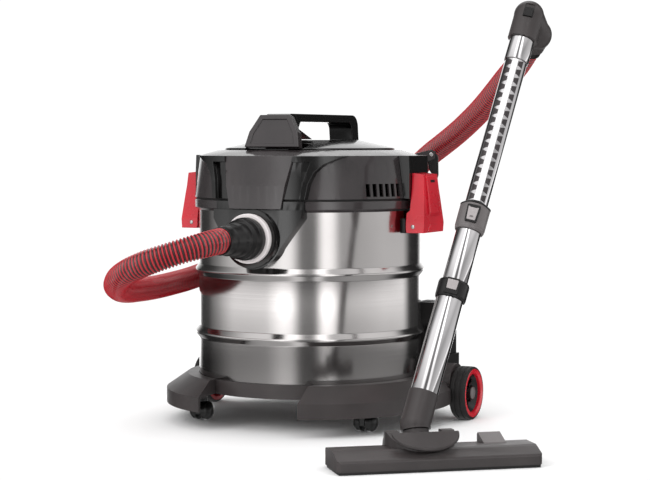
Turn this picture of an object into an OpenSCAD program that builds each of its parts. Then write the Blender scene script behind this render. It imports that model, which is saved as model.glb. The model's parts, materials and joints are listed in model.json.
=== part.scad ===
// Wet and dry shop vacuum: steel drum on a wheeled base, lift-off motor head,
// hose, telescopic wand and floor nozzle.

/* [Place] */
// Distance of the drum's axis from the origin, along X
vac_x = -119; // [-200:1:0]
// Distance of the drum's axis from the origin, along Y
vac_y = 114; // [0:1:200]

/* [Drum] */
// Outside diameter of the steel drum
drum_d = 340; // [280:5:420]
// Height of the steel drum
drum_h = 265; // [220:5:330]
// Thickness of the drum's sheet steel
drum_wall = 1.2; // [0.8:0.1:2]
// Height of each rolled bead round the drum
bead_h = 17; // [12:1:22]
// How far a bead stands out from the drum
bead_out = 5.5; // [3:0.5:7]

/* [Base] */
// How far the base reaches out past the drum
skirt_out = 50; // [46:1:60]
// Height of the drum's floor above the ground
drum_z = 60; // [58:1:70]
// Gap between the base's skirt and the ground
ground_gap = 28; // [24:1:32]
// Width of the notch at the front of the base
notch_w = 162; // [120:2:200]
// Thickness of the base's floor
base_floor = 10; // [8:1:12]

/* [Wheels] */
// Diameter of a rear wheel
wheel_d = 81; // [76:1:88]
// Width of a rear wheel
wheel_w = 27; // [20:1:32]
// Distance of the rear axle behind the drum's axis
axle_back = 88; // [70:1:100]
// Diameter of the rear axle
axle_d = 10; // [8:1:12]
// Diameter of a caster wheel
caster_d = 29; // [26:1:30]
// Distance of each caster from the middle
caster_side = 138; // [110:1:150]
// Distance of the casters in front of the drum's axis
caster_front = 102; // [90:1:115]

/* [Head] */
// Height of the head's side wall
head_h = 63; // [55:1:75]
// Height of the carrying handle above the head's rim
handle_h = 62; // [52:1:80]
// Width of the handle's grip bar
handle_w = 40; // [32:1:48]
// Wall thickness of the head's moulded covers
cover_wall = 3; // [2.5:0.1:4]

/* [Filter and motor] */
// Outside diameter of the cartridge filter
filter_d = 150; // [130:2:170]
// Height of the cartridge filter
filter_h = 150; // [120:5:160]
// Outside diameter of the motor housing
motor_d = 124; // [116:2:140]
// Diameter of the motor's shaft
shaft_d = 8; // [6:1:10]

/* [Inlet and hose] */
// Height of the inlet above the drum's floor
inlet_up = 225; // [200:1:235]
// Outside diameter of the hose
hose_d = 36; // [32:1:40]
// Outside diameter of the inlet's white ring
ring_d = 72; // [64:1:80]
// Length of the swivel cuff on the hose
cuff_l = 80; // [70:1:90]

/* [Latches] */
// Height of a latch
latch_h = 88; // [78:1:98]
// Width of a latch at its foot
latch_w = 76; // [66:1:84]
// Distance of the latches in front of the drum's axis
latch_front = 0; // [-12:1:20]
// Diameter of a latch's hinge pin
latch_pin_d = 6; // [4:1:7]

/* [Tool towers] */
// Diameter of the sockets for accessory tools
socket_d = 25; // [22:0.5:28]
// Height of the towers above the base
tower_h = 102; // [80:2:120]

/* [Wand] */
// Lean of the wand from upright, in degrees
wand_tilt = 27; // [20:1:35]
// Direction in which the wand leans, in degrees from +X
wand_turn = 78.5; // [60:0.5:100]
// Length of the wand from its foot to its grip
wand_l = 578; // [520:2:700]
// Outside diameter of the notched upper tube
tube_d = 32; // [30:0.5:34]
// Wall thickness of the wand's steel tubes
tube_wall = 0.9; // [0.7:0.1:1.2]
// Length of the upper tube held inside the middle tube
tube_hold = 50; // [40:1:70]

/* [Nozzle] */
// Width of the floor nozzle
nozzle_w = 276; // [240:2:320]
// Depth of the floor nozzle
nozzle_l = 79; // [70:1:90]
// Height of the floor nozzle's body
nozzle_h = 27; // [25:1:32]
// Direction of the nozzle's long side, in degrees from +X
nozzle_turn = 39.6; // [20:0.2:60]
// Lean of the neck from upright, in degrees
neck_tilt = 20.7; // [10:0.1:30]

/* [Hidden] */

// Clearances
fit_gap = 0.05;
body_gap = 0.5;
round_fn = 96;
small_fn = 48;

// Drum and base
drum_r = drum_d / 2;
base_r = drum_r + skirt_out;
base_top = drum_z + 12;
base_under = drum_z - base_floor;
drum_top = drum_z + drum_h;
low_bead_z = drum_z + 0.288 * drum_h;
top_bead_z = drum_z + 0.646 * drum_h;
inlet_z = drum_z + inlet_up;
inlet_hole_r = 25;

// Collar, gasket and head
collar_h = 13;
collar_r = drum_r + 6;
seam_z = drum_top + collar_h;
gasket_h = 3;
head_z = seam_z + gasket_h;
rim_z = head_z + head_h;
rim_r = drum_r - 2.5;
top_z = rim_z + 8;
handle_top = rim_z + handle_h;
deck_h = 4;
deck_r = drum_r - 4;
front_y = drum_r + 25;
vent_pitch = 3.8;
vent_slot = 2.4;
hook_at = [rim_r + 17.5, rim_z + 1];
hook_pin_r = 3;
switch_at = [-92, 98];

// Tool towers: their middle, and the socket's, out from the drum's axis along X and Y
tower_at = drum_r - 20;
socket_at = drum_r - 31;
tower_size = [50, 46];
tower_back = tower_at - 6;

// Wheels
axle_z = wheel_d / 2;
wheel_in_x = base_r - 10;
wheel_out_x = wheel_in_x + wheel_w;
stem_d = 8;
stem_l = 24;
fork_top = caster_d + 4;
caster_trail = 8;

// Latches
pivot_x = drum_r + 18;
pivot_z = drum_top - 26;
latch_low = 9;
lug_w = 30;

// Filter and motor, from the deck down and up
filter_top = head_z;
cage_h = 110;
cap_z = filter_top - filter_h - 4;
cage_r = filter_d / 2 - 30;
motor_z = head_z + deck_h;
motor_h = head_h - 12;

// Wand stations along its axis
neck_end = 33;
lower_end = 183;
middle_start = 201;
collar_start = 281;
collar_end = 321;
sleeve_start = wand_l - 32;
lower_d = tube_d + 6;
middle_d = tube_d + 3;
wand_roll = -150;

// Grip: its sleeve, elbow and hub
sleeve_l = 36;
grip_up = 76;
hub_reach = 33;
hub_bend = 115;
hub_l = 20;
hose_leave = [0, 116, 49];
hose_r_in = hose_d / 2 - 1;
wand_foot = [drum_r + 137, -drum_r - 134, 50];

// Nozzle: the hinge of its neck, from the nozzle's own centre
hinge_z = 22;
hinge_back = nozzle_l / 2 - 8;
neck_run = (wand_foot[2] - hinge_z) / cos(neck_tilt);
nozzle_shift = 12;
knuckle_r = 17.5;
knuckle_w = 56;
neck_bore = 15;

// Route of the hose's centre line, from the inlet cuff to the wand's grip
hose_route = [[0, -291, 285], [-4, -306, 283], [-20, -329, 277], [-48, -347, 267],
    [-84, -355, 254], [-120, -345, 239], [-149, -318, 224], [-170, -279, 213], [-186, -234, 206],
    [-198, -180, 203], [-206, -120, 202], [-210, -60, 204], [-212, 0, 208], [-209, 58, 216],
    [-195, 113, 228], [-165, 161, 243], [-122, 194, 258], [-76, 214, 274], [-26, 222, 298],
    [26, 219, 330], [76, 206, 371], [119, 186, 402], [152, 165, 420], [184, 142, 437],
    [215, 118, 455], [246, 93, 475], [275, 68, 496], [302, 45, 517], [326, 25, 535],
    [338, 15, 546], [349, 7, 558]];
hose_sides = 10;

function arc(cx, cy, r, a0, a1, n) =
    [for (i = [0:n]) [cx + r * cos(a0 + (a1 - a0) * i / n), cy + r * sin(a0 + (a1 - a0) * i / n)]];
function unit(v) = v / norm(v);
function head_r(z) = collar_r + (rim_r - collar_r) * (z - head_z) / head_h;

module at_drum() {
    translate([vac_x, vac_y, 0]) children();
}

// A block of ring between two angles, measured from the front, that follows the head's taper
module wall_sector(a0, a1, z0, z1, inner, outer) {
    rotate([0, 0, a0 - 90]) rotate_extrude(angle = a1 - a0, $fn = round_fn)
        polygon([[head_r(z0) + inner, z0], [head_r(z0) + outer, z0],
            [head_r(z1) + outer, z1], [head_r(z1) + inner, z1]]);
}

// Something drawn in X and height, pushed out towards the front
module to_front(y0, y1) {
    translate([0, -y0, 0]) rotate([90, 0, 0]) linear_extrude(y1 - y0) children();
}

// Something turned about the inlet's axis, its height running to the front
module on_inlet(y) {
    translate([0, -y, inlet_z]) rotate([90, 0, 0]) children();
}

module bar_x(x0, x1, r) {
    translate([x0, 0, 0]) rotate([0, 90, 0]) cylinder(h = x1 - x0, r = r, $fn = small_fn);
}

module ring(h, r_out, r_in) {
    difference() {
        cylinder(h = h, r = r_out, $fn = round_fn);
        translate([0, 0, -1]) cylinder(h = h + 2, r = r_in, $fn = round_fn);
    }
}

/* ---- Base, wheels and casters ---- */

module axle_box(s) {
    difference() {
        union() {
            translate([s > 0 ? wheel_in_x - 24 : -wheel_in_x + 2, axle_back, axle_z + 16])
                bar_x(0, 22, 28);
            translate([s > 0 ? wheel_in_x - 24 : -wheel_in_x + 2, axle_back - 28, ground_gap])
                cube([22, 56, axle_z + 16 - ground_gap]);
        }
        translate([-base_r, 0, 0]) cube([2 * base_r, 2 * base_r, ground_gap]);
        cylinder(h = 2 * drum_z, r = drum_r + 14, $fn = round_fn);
    }
}

module base() {
    color("#4a4545") at_drum() difference() {
        union() {
            rotate_extrude($fn = round_fn) polygon([[0, base_under], [base_r - 5, base_under],
                [base_r - 5, ground_gap], [base_r, ground_gap], [base_r, ground_gap + 22],
                [base_r - 32, base_top], [drum_r + 0.6, base_top], [drum_r + 0.6, drum_z],
                [0, drum_z]]);
            for (s = [-1, 1]) axle_box(s);
            for (s = [-1, 1]) translate([s * caster_side, -caster_front, fork_top + body_gap])
                cylinder(h = base_under - fork_top, r = 12, $fn = small_fn);
        }
        difference() {
            translate([-notch_w / 2, -base_r - 1, 0]) cube([notch_w, base_r, base_top + 1]);
            translate([0, 0, -1]) cylinder(h = base_top, r = drum_r + 3, $fn = round_fn);
        }
        for (s = [-1, 1]) translate([s * caster_side, -caster_front, fork_top - 1])
            cylinder(h = stem_l, d = stem_d + 2 * fit_gap, $fn = small_fn);
        for (s = [-1, 1]) translate([s > 0 ? wheel_in_x - 2 : -wheel_in_x - 60, axle_back, axle_z])
            bar_x(0, 62, wheel_d / 2 + 3);
        translate([0, axle_back, axle_z]) bar_x(-base_r, base_r, axle_d / 2);
        for (s = [-1, 1]) translate([s * tower_at, tower_back, base_under - 1])
            translate([-tower_size[0] / 2 - 4, -tower_size[1] / 2 - 2, 0])
                cube([tower_size[0] + 8, tower_size[1] + 4, base_top]);
    }
}

module axle() {
    color("silver") at_drum() translate([0, axle_back, axle_z])
        bar_x(-wheel_out_x + 3, wheel_out_x - 3, axle_d / 2);
}

module rear_wheel(s) {
    color("#c8283a") at_drum() translate([s > 0 ? wheel_in_x : -wheel_out_x, axle_back, axle_z])
        difference() {
            union() {
                bar_x(0, wheel_w, 12);
                bar_x(3, wheel_w - 3, wheel_d / 2 - 4);
            }
            translate([s > 0 ? wheel_w - 9 : 3, 0, 0]) difference() {
                bar_x(-0.01, 6.01, wheel_d / 2 - 10);
                bar_x(-1, 8, 12);
            }
            translate([s > 0 ? 0 : 2, 0, 0]) bar_x(-1, wheel_w - 1, axle_d / 2 + fit_gap);
        }
}

module rear_tyre(s) {
    color("#262425") at_drum() translate([s > 0 ? wheel_in_x : -wheel_out_x, axle_back, axle_z])
        rotate([0, 90, 0]) rotate_extrude($fn = round_fn) polygon([
            [wheel_d / 2 - 4, 0.5], [wheel_d / 2 - 1.5, 0.5], [wheel_d / 2, 3],
            [wheel_d / 2, wheel_w - 3], [wheel_d / 2 - 1.5, wheel_w - 0.5],
            [wheel_d / 2 - 4, wheel_w - 0.5]]);
}

module caster_place(s) {
    at_drum() translate([s * caster_side, -caster_front, 0]) children();
}

module fork(s) {
    color("#1e1c1d") caster_place(s) {
        translate([0, 0, fork_top - 3]) cylinder(h = 3, r = 12, $fn = small_fn);
        translate([0, 0, fork_top]) cylinder(h = stem_l - 2, d = stem_d, $fn = small_fn);
        translate([-4, -6, caster_d / 2 - 5]) cube([8, caster_trail + 11, fork_top - caster_d / 2 + 2]);
        translate([0, caster_trail, caster_d / 2]) bar_x(-17, 17, 2.5);
    }
}

module caster_wheels(s) {
    color("#2a2829") caster_place(s) translate([0, caster_trail, caster_d / 2])
        for (k = [-1, 1]) difference() {
            rotate([0, k * 90, 0]) rotate_extrude($fn = small_fn) polygon([[0, 4.5],
                [caster_d / 2, 4.5], [caster_d / 2, 11], [caster_d / 2 - 3, 15],
                [caster_d / 2 - 8, 17.5], [0, 18.5]]);
            bar_x(-17.2, 17.2, 2.5 + fit_gap);
        }
}

/* ---- Drum, collar and inlet ---- */

function drum_side(r) = [for (z = [low_bead_z, top_bead_z]) each [[r, z - bead_h / 2],
    [r + bead_out, z - 1.5], [r + bead_out, z + 1.5], [r, z + bead_h / 2]]];
function reversed(list) = [for (i = [len(list) - 1:-1:0]) list[i]];

module drum() {
    color("silver") at_drum() difference() {
        rotate_extrude($fn = round_fn) polygon(concat([[0, drum_z], [drum_r, drum_z]],
            drum_side(drum_r), [[drum_r, drum_top], [drum_r - drum_wall, drum_top]],
            reversed(drum_side(drum_r - drum_wall)),
            [[drum_r - drum_wall, drum_z + drum_wall], [0, drum_z + drum_wall]]));
        on_inlet(drum_r - 20) cylinder(h = 40, r = inlet_hole_r, $fn = small_fn);
    }
}

module collar() {
    color("#2b292a") at_drum() difference() {
        rotate_extrude($fn = round_fn) polygon([[drum_r - 5, drum_top],
            [drum_r - 5, seam_z], [collar_r, seam_z], [collar_r, drum_top + 1],
            [drum_r + 2, drum_top - 3], [drum_r, drum_top - 3], [drum_r, drum_top]]);
        difference() {
            to_front(drum_r * 0.7, front_y) apron_outline(0);
            cylinder(h = seam_z, r = drum_r, $fn = round_fn);
        }
    }
}

// Drop-shaped outline of the apron: a round foot, flared up to the seam
module apron_outline(grow) {
    foot = 45 + grow;
    polygon(concat(arc(0, inlet_z, foot, 200, 340, 28),
        [[72 + grow, drum_top - 12], [72 + grow, seam_z + grow], [-72 - grow, seam_z + grow],
        [-72 - grow, drum_top - 12]]));
}

module apron() {
    color("#1a1718") at_drum() difference() {
        intersection() {
            to_front(drum_r * 0.7, front_y) apron_outline(0);
            union() {
                cylinder(h = seam_z, r = drum_r + 18, $fn = round_fn);
                on_inlet(drum_r) cylinder(h = front_y - drum_r, r = ring_d / 2 + 7, $fn = round_fn);
            }
        }
        cylinder(h = seam_z + 1, r = drum_r + 0.2, $fn = round_fn);
        rotate_extrude($fn = round_fn) polygon(drum_side(drum_r + 0.3));
        on_inlet(drum_r - 30) cylinder(h = 80, r = inlet_hole_r - 2, $fn = small_fn);
        translate([0, 0, drum_top + 1]) ring(22, base_r, drum_r + 9);
    }
}

module inlet_ring() {
    color("#ece6e6") at_drum() on_inlet(front_y) ring(9, ring_d / 2, inlet_hole_r - 2);
}

module inlet_elbow() {
    tube_out = inlet_hole_r - 2;
    color("#1e1c1d") at_drum() difference() {
        union() {
            on_inlet(drum_r - 28) cylinder(h = front_y + 9 - drum_r + 28, r = tube_out, $fn = small_fn);
            translate([0, 28 - drum_r, inlet_z]) sphere(r = tube_out, $fn = small_fn);
            translate([0, 28 - drum_r, inlet_z - 34]) cylinder(h = 34, r = tube_out, $fn = small_fn);
        }
        on_inlet(drum_r - 28) cylinder(h = front_y + 60 - drum_r, r = hose_d / 2 + 2.5, $fn = small_fn);
        translate([0, 28 - drum_r, inlet_z]) sphere(r = hose_d / 2 + 2.5, $fn = small_fn);
        translate([0, 28 - drum_r, inlet_z - 35]) cylinder(h = 35, r = hose_d / 2 + 2.5, $fn = small_fn);
    }
}

module hose_cuff() {
    bore = hose_d / 2 - 3;
    color("#1e1c1d") at_drum() on_inlet(front_y + 9 + body_gap) difference() {
        rotate_extrude($fn = round_fn) polygon([[bore, -18], [hose_d / 2 + 2.45, -18],
            [hose_d / 2 + 2.45, 0], [31, 0], [31, 10], [29, 12], [29, 22], [25, 27], [25, 36],
            [22, 42], [22, 60], [20, 64], [20, cuff_l], [bore, cuff_l]]);
        for (a = [0:45:315]) rotate([0, 0, a]) translate([31, -2, 1]) cube([4, 4, 9]);
    }
}

/* ---- Tool towers and latches ---- */

module tool_towers() {
    foot = tower_size + [8, 4];
    color("#232122") at_drum() for (s = [-1, 1]) difference() {
        translate([s * tower_at, tower_back, 0]) {
            translate([-foot[0] / 2, -foot[1] / 2, base_under])
                cube([foot[0], foot[1], base_top - base_under + 20]);
            translate([-tower_size[0] / 2, -tower_size[1] / 2, base_top])
                cube([tower_size[0], tower_size[1], tower_h]);
        }
        translate([s * socket_at, socket_at, base_top + 22])
            cylinder(h = tower_h, d = socket_d, $fn = small_fn);
        cylinder(h = 500, r = drum_r + bead_out + 1, $fn = round_fn);
    }
}

// A lug on the drum's side; the latch closes round it
module latch_brackets() {
    color("#1e1c1d") at_drum() for (s = [-1, 1]) translate([0, -latch_front, pivot_z])
        mirror([s > 0 ? 0 : 1, 0, 0]) difference() {
            union() {
                translate([drum_r - 10, -lug_w, -10]) cube([12.5, 2 * lug_w, 22]);
                translate([drum_r - 10, -lug_w / 2, -7.5]) cube([pivot_x - drum_r + 10, lug_w, 15]);
                translate([pivot_x, -lug_w / 2, 0]) rotate([-90, 0, 0])
                    cylinder(h = lug_w, r = 7.5, $fn = small_fn);
            }
            translate([0, latch_front, -60]) cylinder(h = 120, r = drum_r, $fn = round_fn);
            translate([pivot_x, -60, 0]) rotate([-90, 0, 0])
                cylinder(h = 120, d = latch_pin_d, $fn = small_fn);
        }
}

module latch_pins() {
    color("silver") at_drum() for (s = [-1, 1])
        translate([s * pivot_x, -latch_front - latch_w / 2, pivot_z]) rotate([-90, 0, 0])
            cylinder(h = latch_w, d = latch_pin_d, $fn = small_fn);
}

module latch(s) {
    top = latch_h - latch_low;
    half = latch_w / 2;
    color("#d81f35") at_drum() translate([s * pivot_x, -latch_front, pivot_z])
        mirror([s > 0 ? 0 : 1, 0, 0]) difference() {
            intersection() {
                translate([0, half, 0]) rotate([90, 0, 0]) linear_extrude(latch_w)
                    polygon([[-6, top], [12, top - 2], [15, top - 34], [18, 4], [17, -latch_low],
                        [-10, -latch_low], [-11, -4], [-11, 20], [-6, 24]]);
                rotate([90, 0, 90]) translate([0, 0, -20]) linear_extrude(60)
                    polygon([[-half + 12, top], [half - 12, top], [half - 10, 56], [half, 6],
                        [half, -latch_low], [-half, -latch_low], [-half, 6], [-half + 10, 56]]);
            }
            rotate([90, 0, 0]) translate([0, 0, -60])
                cylinder(h = 120, d = latch_pin_d + 2 * fit_gap, $fn = small_fn);
            translate([-20, -lug_w / 2 - body_gap, -20]) cube([32, lug_w + 2 * body_gap, 42]);
            translate([11, -8, top - 14]) cube([10, 16, 4]);
        }
}

// Flat faces on the head's sides, behind the latches
module latch_towers() {
    face = pivot_x - 6.6;
    color("#1e1c1d") at_drum() for (s = [-1, 1]) mirror([s > 0 ? 0 : 1, 0, 0]) difference() {
        translate([0, -latch_front + 36, 0]) rotate([90, 0, 0]) linear_extrude(72)
            polygon([[drum_r - 20, head_z - 1], [face, head_z - 1], [face, head_z + 39],
                [face - 1, rim_z], [drum_r - 20, rim_z]]);
        rotate_extrude($fn = round_fn) polygon([[0, 0], [collar_r, 0], [collar_r, head_z],
            [rim_r, rim_z], [rim_r, rim_z + 20], [0, rim_z + 20]]);
    }
}

/* ---- Head covers ---- */

module head_shell() {
    t = cover_wall;
    color("#3a3637") at_drum() difference() {
        union() {
            rotate_extrude($fn = round_fn) polygon([[collar_r, head_z], [rim_r, rim_z],
                [rim_r - 28, top_z], [0, top_z], [0, top_z - t], [rim_r - 29, top_z - t],
                [rim_r - t - 0.5, rim_z - t], [collar_r - t, head_z]]);
            for (k = [-12.5, 9.5]) rotate([0, 0, 26]) translate([0, k + 3, 0])
                rotate([90, 0, 0]) linear_extrude(3) polygon([[rim_r - 1, rim_z - 16],
                    [hook_at[0] + 6, hook_at[1] - 6], [hook_at[0] + 6, hook_at[1] + 5],
                    [hook_at[0], hook_at[1] + 7], [rim_r - 10, rim_z + 1]]);
        }
        for (a = [-65, 65], k = [-2.5:1:2.5]) wall_sector(a + k * vent_pitch - vent_slot / 2,
            a + k * vent_pitch + vent_slot / 2, head_z + 3, head_z + 22, -2 * t, t);
        translate([0, drum_r - 30, head_z + 32]) rotate([-90, 0, 0])
            cylinder(h = 60, r = 20, $fn = small_fn);
        translate([-52, drum_r - 40, head_z + 14]) rotate([-90, 0, 0])
            cylinder(h = 60, r = 6, $fn = small_fn);
        translate([switch_at[0] - 9, switch_at[1] - 14, top_z - t - 1]) cube([18, 28, t + 2]);
        rotate([0, 0, 26]) translate([hook_at[0], 20, hook_at[1]]) rotate([90, 0, 0])
            cylinder(h = 40, r = hook_pin_r, $fn = small_fn);
    }
}

module top_plate() {
    color("#1a1718") at_drum() translate([0, 0, top_z]) difference() {
        rotate_extrude($fn = round_fn) polygon([[0, 0], [drum_r - 40, 0], [drum_r - 40, 3],
            [drum_r - 96, 15], [0, 15]]);
        translate([-48, -drum_r + 30, -1]) cube([96, 50, 20]);
        translate([-handle_w / 2, 108, -1]) cube([handle_w, 30, 20]);
        translate([switch_at[0] - 12, switch_at[1] - 17, -1]) cube([24, 34, 20]);
    }
}

module motor_deck() {
    color("#2b292a") at_drum() translate([0, 0, head_z]) difference() {
        ring(deck_h, deck_r, 30);
        for (a = [45:90:315]) rotate([0, 0, a]) translate([deck_r - 10, 0, -1])
            cylinder(h = 10, r = 2.5, $fn = small_fn);
    }
}

module gasket() {
    color("#111111") at_drum() translate([0, 0, seam_z]) ring(gasket_h, drum_r + 4, drum_r - 4);
}

module window_outline(grow) {
    polygon([[-42 - grow, seam_z - 11 - grow], [42 + grow, seam_z - 11 - grow],
        [56 + grow, rim_z + grow], [-56 - grow, rim_z + grow]]);
}

module window_panel() {
    color("#4b4546") at_drum() intersection() {
        to_front(drum_r * 0.7, base_r) window_outline(0);
        rotate_extrude($fn = round_fn) polygon([[collar_r, head_z + 0.5], [drum_r + 11, head_z],
            [drum_r + 11, seam_z - 11], [drum_r + 15, seam_z - 11], [drum_r + 15, head_z + 20],
            [rim_r + 8, rim_z], [rim_r, rim_z]]);
    }
}

module front_frame() {
    color("#1a1718") at_drum() difference() {
        intersection() {
            to_front(drum_r * 0.6, base_r) polygon([[-76, head_z], [76, head_z],
                [79, head_z + 22], [85, head_z + 38], [96, head_z + 50], [122, rim_z],
                [-122, rim_z], [-96, head_z + 50], [-85, head_z + 38], [-79, head_z + 22]]);
            rotate_extrude($fn = round_fn) polygon([[collar_r, head_z], [drum_r + 17, head_z],
                [rim_r + 11, rim_z], [rim_r, rim_z]]);
        }
        intersection() {
            to_front(drum_r * 0.6, base_r) polygon([[-68, head_z - 1], [68, head_z - 1],
                [72, head_z + 26], [80, rim_z - 9], [-80, rim_z - 9], [-72, head_z + 26]]);
            rotate_extrude($fn = round_fn) polygon([[collar_r + 4, head_z - 1],
                [base_r, head_z - 1], [base_r, rim_z - 8], [rim_r + 5, rim_z - 8]]);
        }
        to_front(drum_r * 0.6, base_r) window_outline(0);
    }
}

/* ---- Handle, hook, switch, ports ---- */

module handle() {
    color("#232122") at_drum() translate([-handle_w / 2, 0, 0]) rotate([90, 0, 90])
        linear_extrude(handle_w) difference() {
            polygon(concat([[-112, top_z]], arc(-100, handle_top - 10, 10, 170, 90, 6),
                arc(112, handle_top - 20, 20, 90, 0, 8), [[136, top_z]]));
            polygon(concat([[-28, top_z + 15], [-78, handle_top - 22]],
                arc(-68, handle_top - 18, 6, 160, 90, 5),
                arc(96, handle_top - 24, 12, 90, 0, 6), [[110, top_z + 15]]));
            translate([-93, top_z - 1]) square([201, 17]);
        }
}

module handle_plate() {
    color("#3a3637") at_drum() translate([0, 0, top_z]) rotate([90, 0, 0])
        translate([0, 0, 113]) rotate([-15, 0, 0]) translate([0, 0, 2])
            difference() {
                linear_extrude(14) polygon([[-45, 1], [45, 1], [40, 24], [25, 50], [-25, 50],
                    [-40, 24]]);
                translate([0, 0, 12]) linear_extrude(10) polygon([[-36, 6], [36, 6], [32, 22],
                    [20, 43], [-20, 43], [-32, 22]]);
                rotate([15, 0, 0]) translate([-handle_w / 2, -1, -30]) cube([handle_w, 90, 27.3]);
                rotate([15, 0, 0]) translate([-60, -40, -30]) cube([120, 40, 60]);
            }
}

module cord_gland() {
    color("#111111") at_drum() translate([-52, drum_r - 12, head_z + 14]) rotate([-90, 0, 0])
        difference() {
            union() {
                cylinder(h = 34, r = 6, $fn = small_fn);
                translate([0, 0, 15]) cylinder(h = 4, r = 9, $fn = small_fn);
            }
            translate([0, 0, -1]) cylinder(h = 40, r = 3.6, $fn = small_fn);
        }
}

module blower_port() {
    color("#1e1c1d") at_drum() translate([0, drum_r - 30, head_z + 32]) rotate([-90, 0, 0])
        difference() {
            union() {
                cylinder(h = 52, r = 20, $fn = round_fn);
                translate([0, 0, 36]) cylinder(h = 6, r = 25, $fn = round_fn);
            }
            translate([0, 0, -1]) cylinder(h = 60, r = 17.5, $fn = round_fn);
        }
}

// A flat hook that hangs from the rim and swings out about a pin
module cord_hook() {
    color("#1e1c1d") at_drum() rotate([0, 0, 26]) translate([hook_at[0], 0, hook_at[1]])
        rotate([90, 0, 0]) {
            translate([0, 0, -12.5]) cylinder(h = 25, r = hook_pin_r - fit_gap, $fn = small_fn);
            translate([0, 0, -9]) linear_extrude(18) union() {
                circle(r = 8, $fn = small_fn);
                polygon([[-8, 0], [-6.5, -34], [-4, -38], [8, -38], [10, -34], [10, -22],
                    [7, -22], [7, -33], [-1, -33], [0, -6], [8, 0]]);
            }
        }
}

module power_switch() {
    color("#c8283a") at_drum() translate([switch_at[0], switch_at[1], top_z + 3]) difference() {
        union() {
            translate([-8, 0, 0]) bar_x(0, 16, 5);
            translate([-8, -12, -2]) cube([16, 24, 5]);
        }
        bar_x(-20, 20, 1.5);
    }
}

/* ---- Motor and filter ---- */

module motor_housing() {
    color("#6a6668") at_drum() translate([0, 0, motor_z]) difference() {
        union() {
            ring(motor_h, motor_d / 2, motor_d / 2 - 3);
            ring(3, motor_d / 2, 26);
            translate([0, 0, 24]) ring(3, motor_d / 2, shaft_d / 2 + 5);
            translate([0, 0, motor_h - 3]) ring(3, motor_d / 2, shaft_d / 2 + 5);
        }
        for (a = [0:30:330]) rotate([0, 0, a]) translate([motor_d / 2 - 6, -4, 8])
            cube([12, 8, 12]);
    }
}

module motor_stator() {
    color("#8a5a30") at_drum() translate([0, 0, motor_z + 28]) difference() {
        ring(motor_h - 33, 40, 25);
        for (s = [-1, 1]) translate([s * 33 - 6, -8, -1]) cube([12, 16, motor_h]);
    }
}

module bearings() {
    color("silver") at_drum() translate([0, 0, motor_z]) for (z = [23.5, motor_h - 3.5])
        translate([0, 0, z]) ring(4, shaft_d / 2 + 5, shaft_d / 2 + fit_gap);
}

module armature() {
    color("#b06a38") at_drum() translate([0, 0, motor_z]) {
        translate([0, 0, 4]) cylinder(h = motor_h - 3, d = shaft_d, $fn = small_fn);
        translate([0, 0, 29]) cylinder(h = motor_h - 35, r = 23.5, $fn = small_fn);
    }
}

module impeller() {
    blade_r = motor_d / 2 - 6;
    color("#b8b8ba") at_drum() translate([0, 0, motor_z]) difference() {
        union() {
            translate([0, 0, 19]) cylinder(h = 2, r = blade_r, $fn = round_fn);
            translate([0, 0, 5]) cylinder(h = 15, r = shaft_d / 2 + 4, $fn = small_fn);
            for (a = [0:40:320]) rotate([0, 0, a]) translate([shaft_d / 2 + 2, 0, 8])
                cube([blade_r - shaft_d / 2 - 4, 1.6, 12]);
        }
        translate([0, 0, 2]) cylinder(h = 30, d = shaft_d, $fn = small_fn);
    }
}

module filter_cage() {
    color("#2b292a") at_drum() translate([0, 0, head_z - cage_h]) difference() {
        union() {
            ring(cage_h, cage_r, cage_r - 3);
            cylinder(h = 3, r = cage_r, $fn = round_fn);
        }
        for (a = [0:45:315]) rotate([0, 0, a]) translate([cage_r - 8, -8, 12])
            cube([16, 16, 60]);
        translate([0, 0, -1]) cylinder(h = 6, r = 5, $fn = small_fn);
    }
}

module cartridge_filter() {
    pleats = 40;
    r0 = filter_d / 2;
    color("#f2efe8") at_drum() translate([0, 0, filter_top - filter_h]) {
        linear_extrude(filter_h - 16) difference() {
            polygon([for (i = [0:2 * pleats - 1]) (r0 - (i % 2) * 6) *
                [cos(180 * i / pleats), sin(180 * i / pleats)]]);
            circle(r = cage_r + 4, $fn = round_fn);
        }
        translate([0, 0, filter_h - 16]) ring(16, r0 + 1, cage_r + 1);
    }
}

module filter_cap() {
    color("#c8283a") at_drum() translate([0, 0, cap_z]) difference() {
        union() {
            cylinder(h = 4, r = filter_d / 2 + 2, $fn = round_fn);
            translate([0, 0, -12]) cylinder(h = 13, r = 16, $fn = small_fn);
            cylinder(h = head_z - cage_h + 3 - cap_z, r = 5 - fit_gap, $fn = small_fn);
        }
        for (a = [0:60:300]) rotate([0, 0, a]) translate([17, 0, -13])
            cylinder(h = 12, r = 3, $fn = small_fn);
    }
}

module float() {
    color("#f0f0f0") at_drum() translate([0, 0, head_z - 106]) difference() {
        cylinder(h = 46, r = cage_r - 4, $fn = small_fn);
        translate([0, 0, -1]) cylinder(h = 42, r = cage_r - 6, $fn = small_fn);
    }
}

module head_screws() {
    color("silver") at_drum() translate([0, 0, head_z]) for (a = [45:90:315])
        rotate([0, 0, a]) translate([deck_r - 10, 0, -2]) {
            cylinder(h = 14, r = 2.5, $fn = 24);
            cylinder(h = 2, r = 5, $fn = 24);
        }
}

/* ---- Wand ---- */

module on_wand(s) {
    at_drum() translate(wand_foot) rotate([0, wand_tilt, wand_turn]) translate([0, 0, s])
        rotate([0, 0, wand_roll]) children();
}

module tube(length, d, wall) {
    ring(length, d / 2, d / 2 - wall);
}

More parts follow.
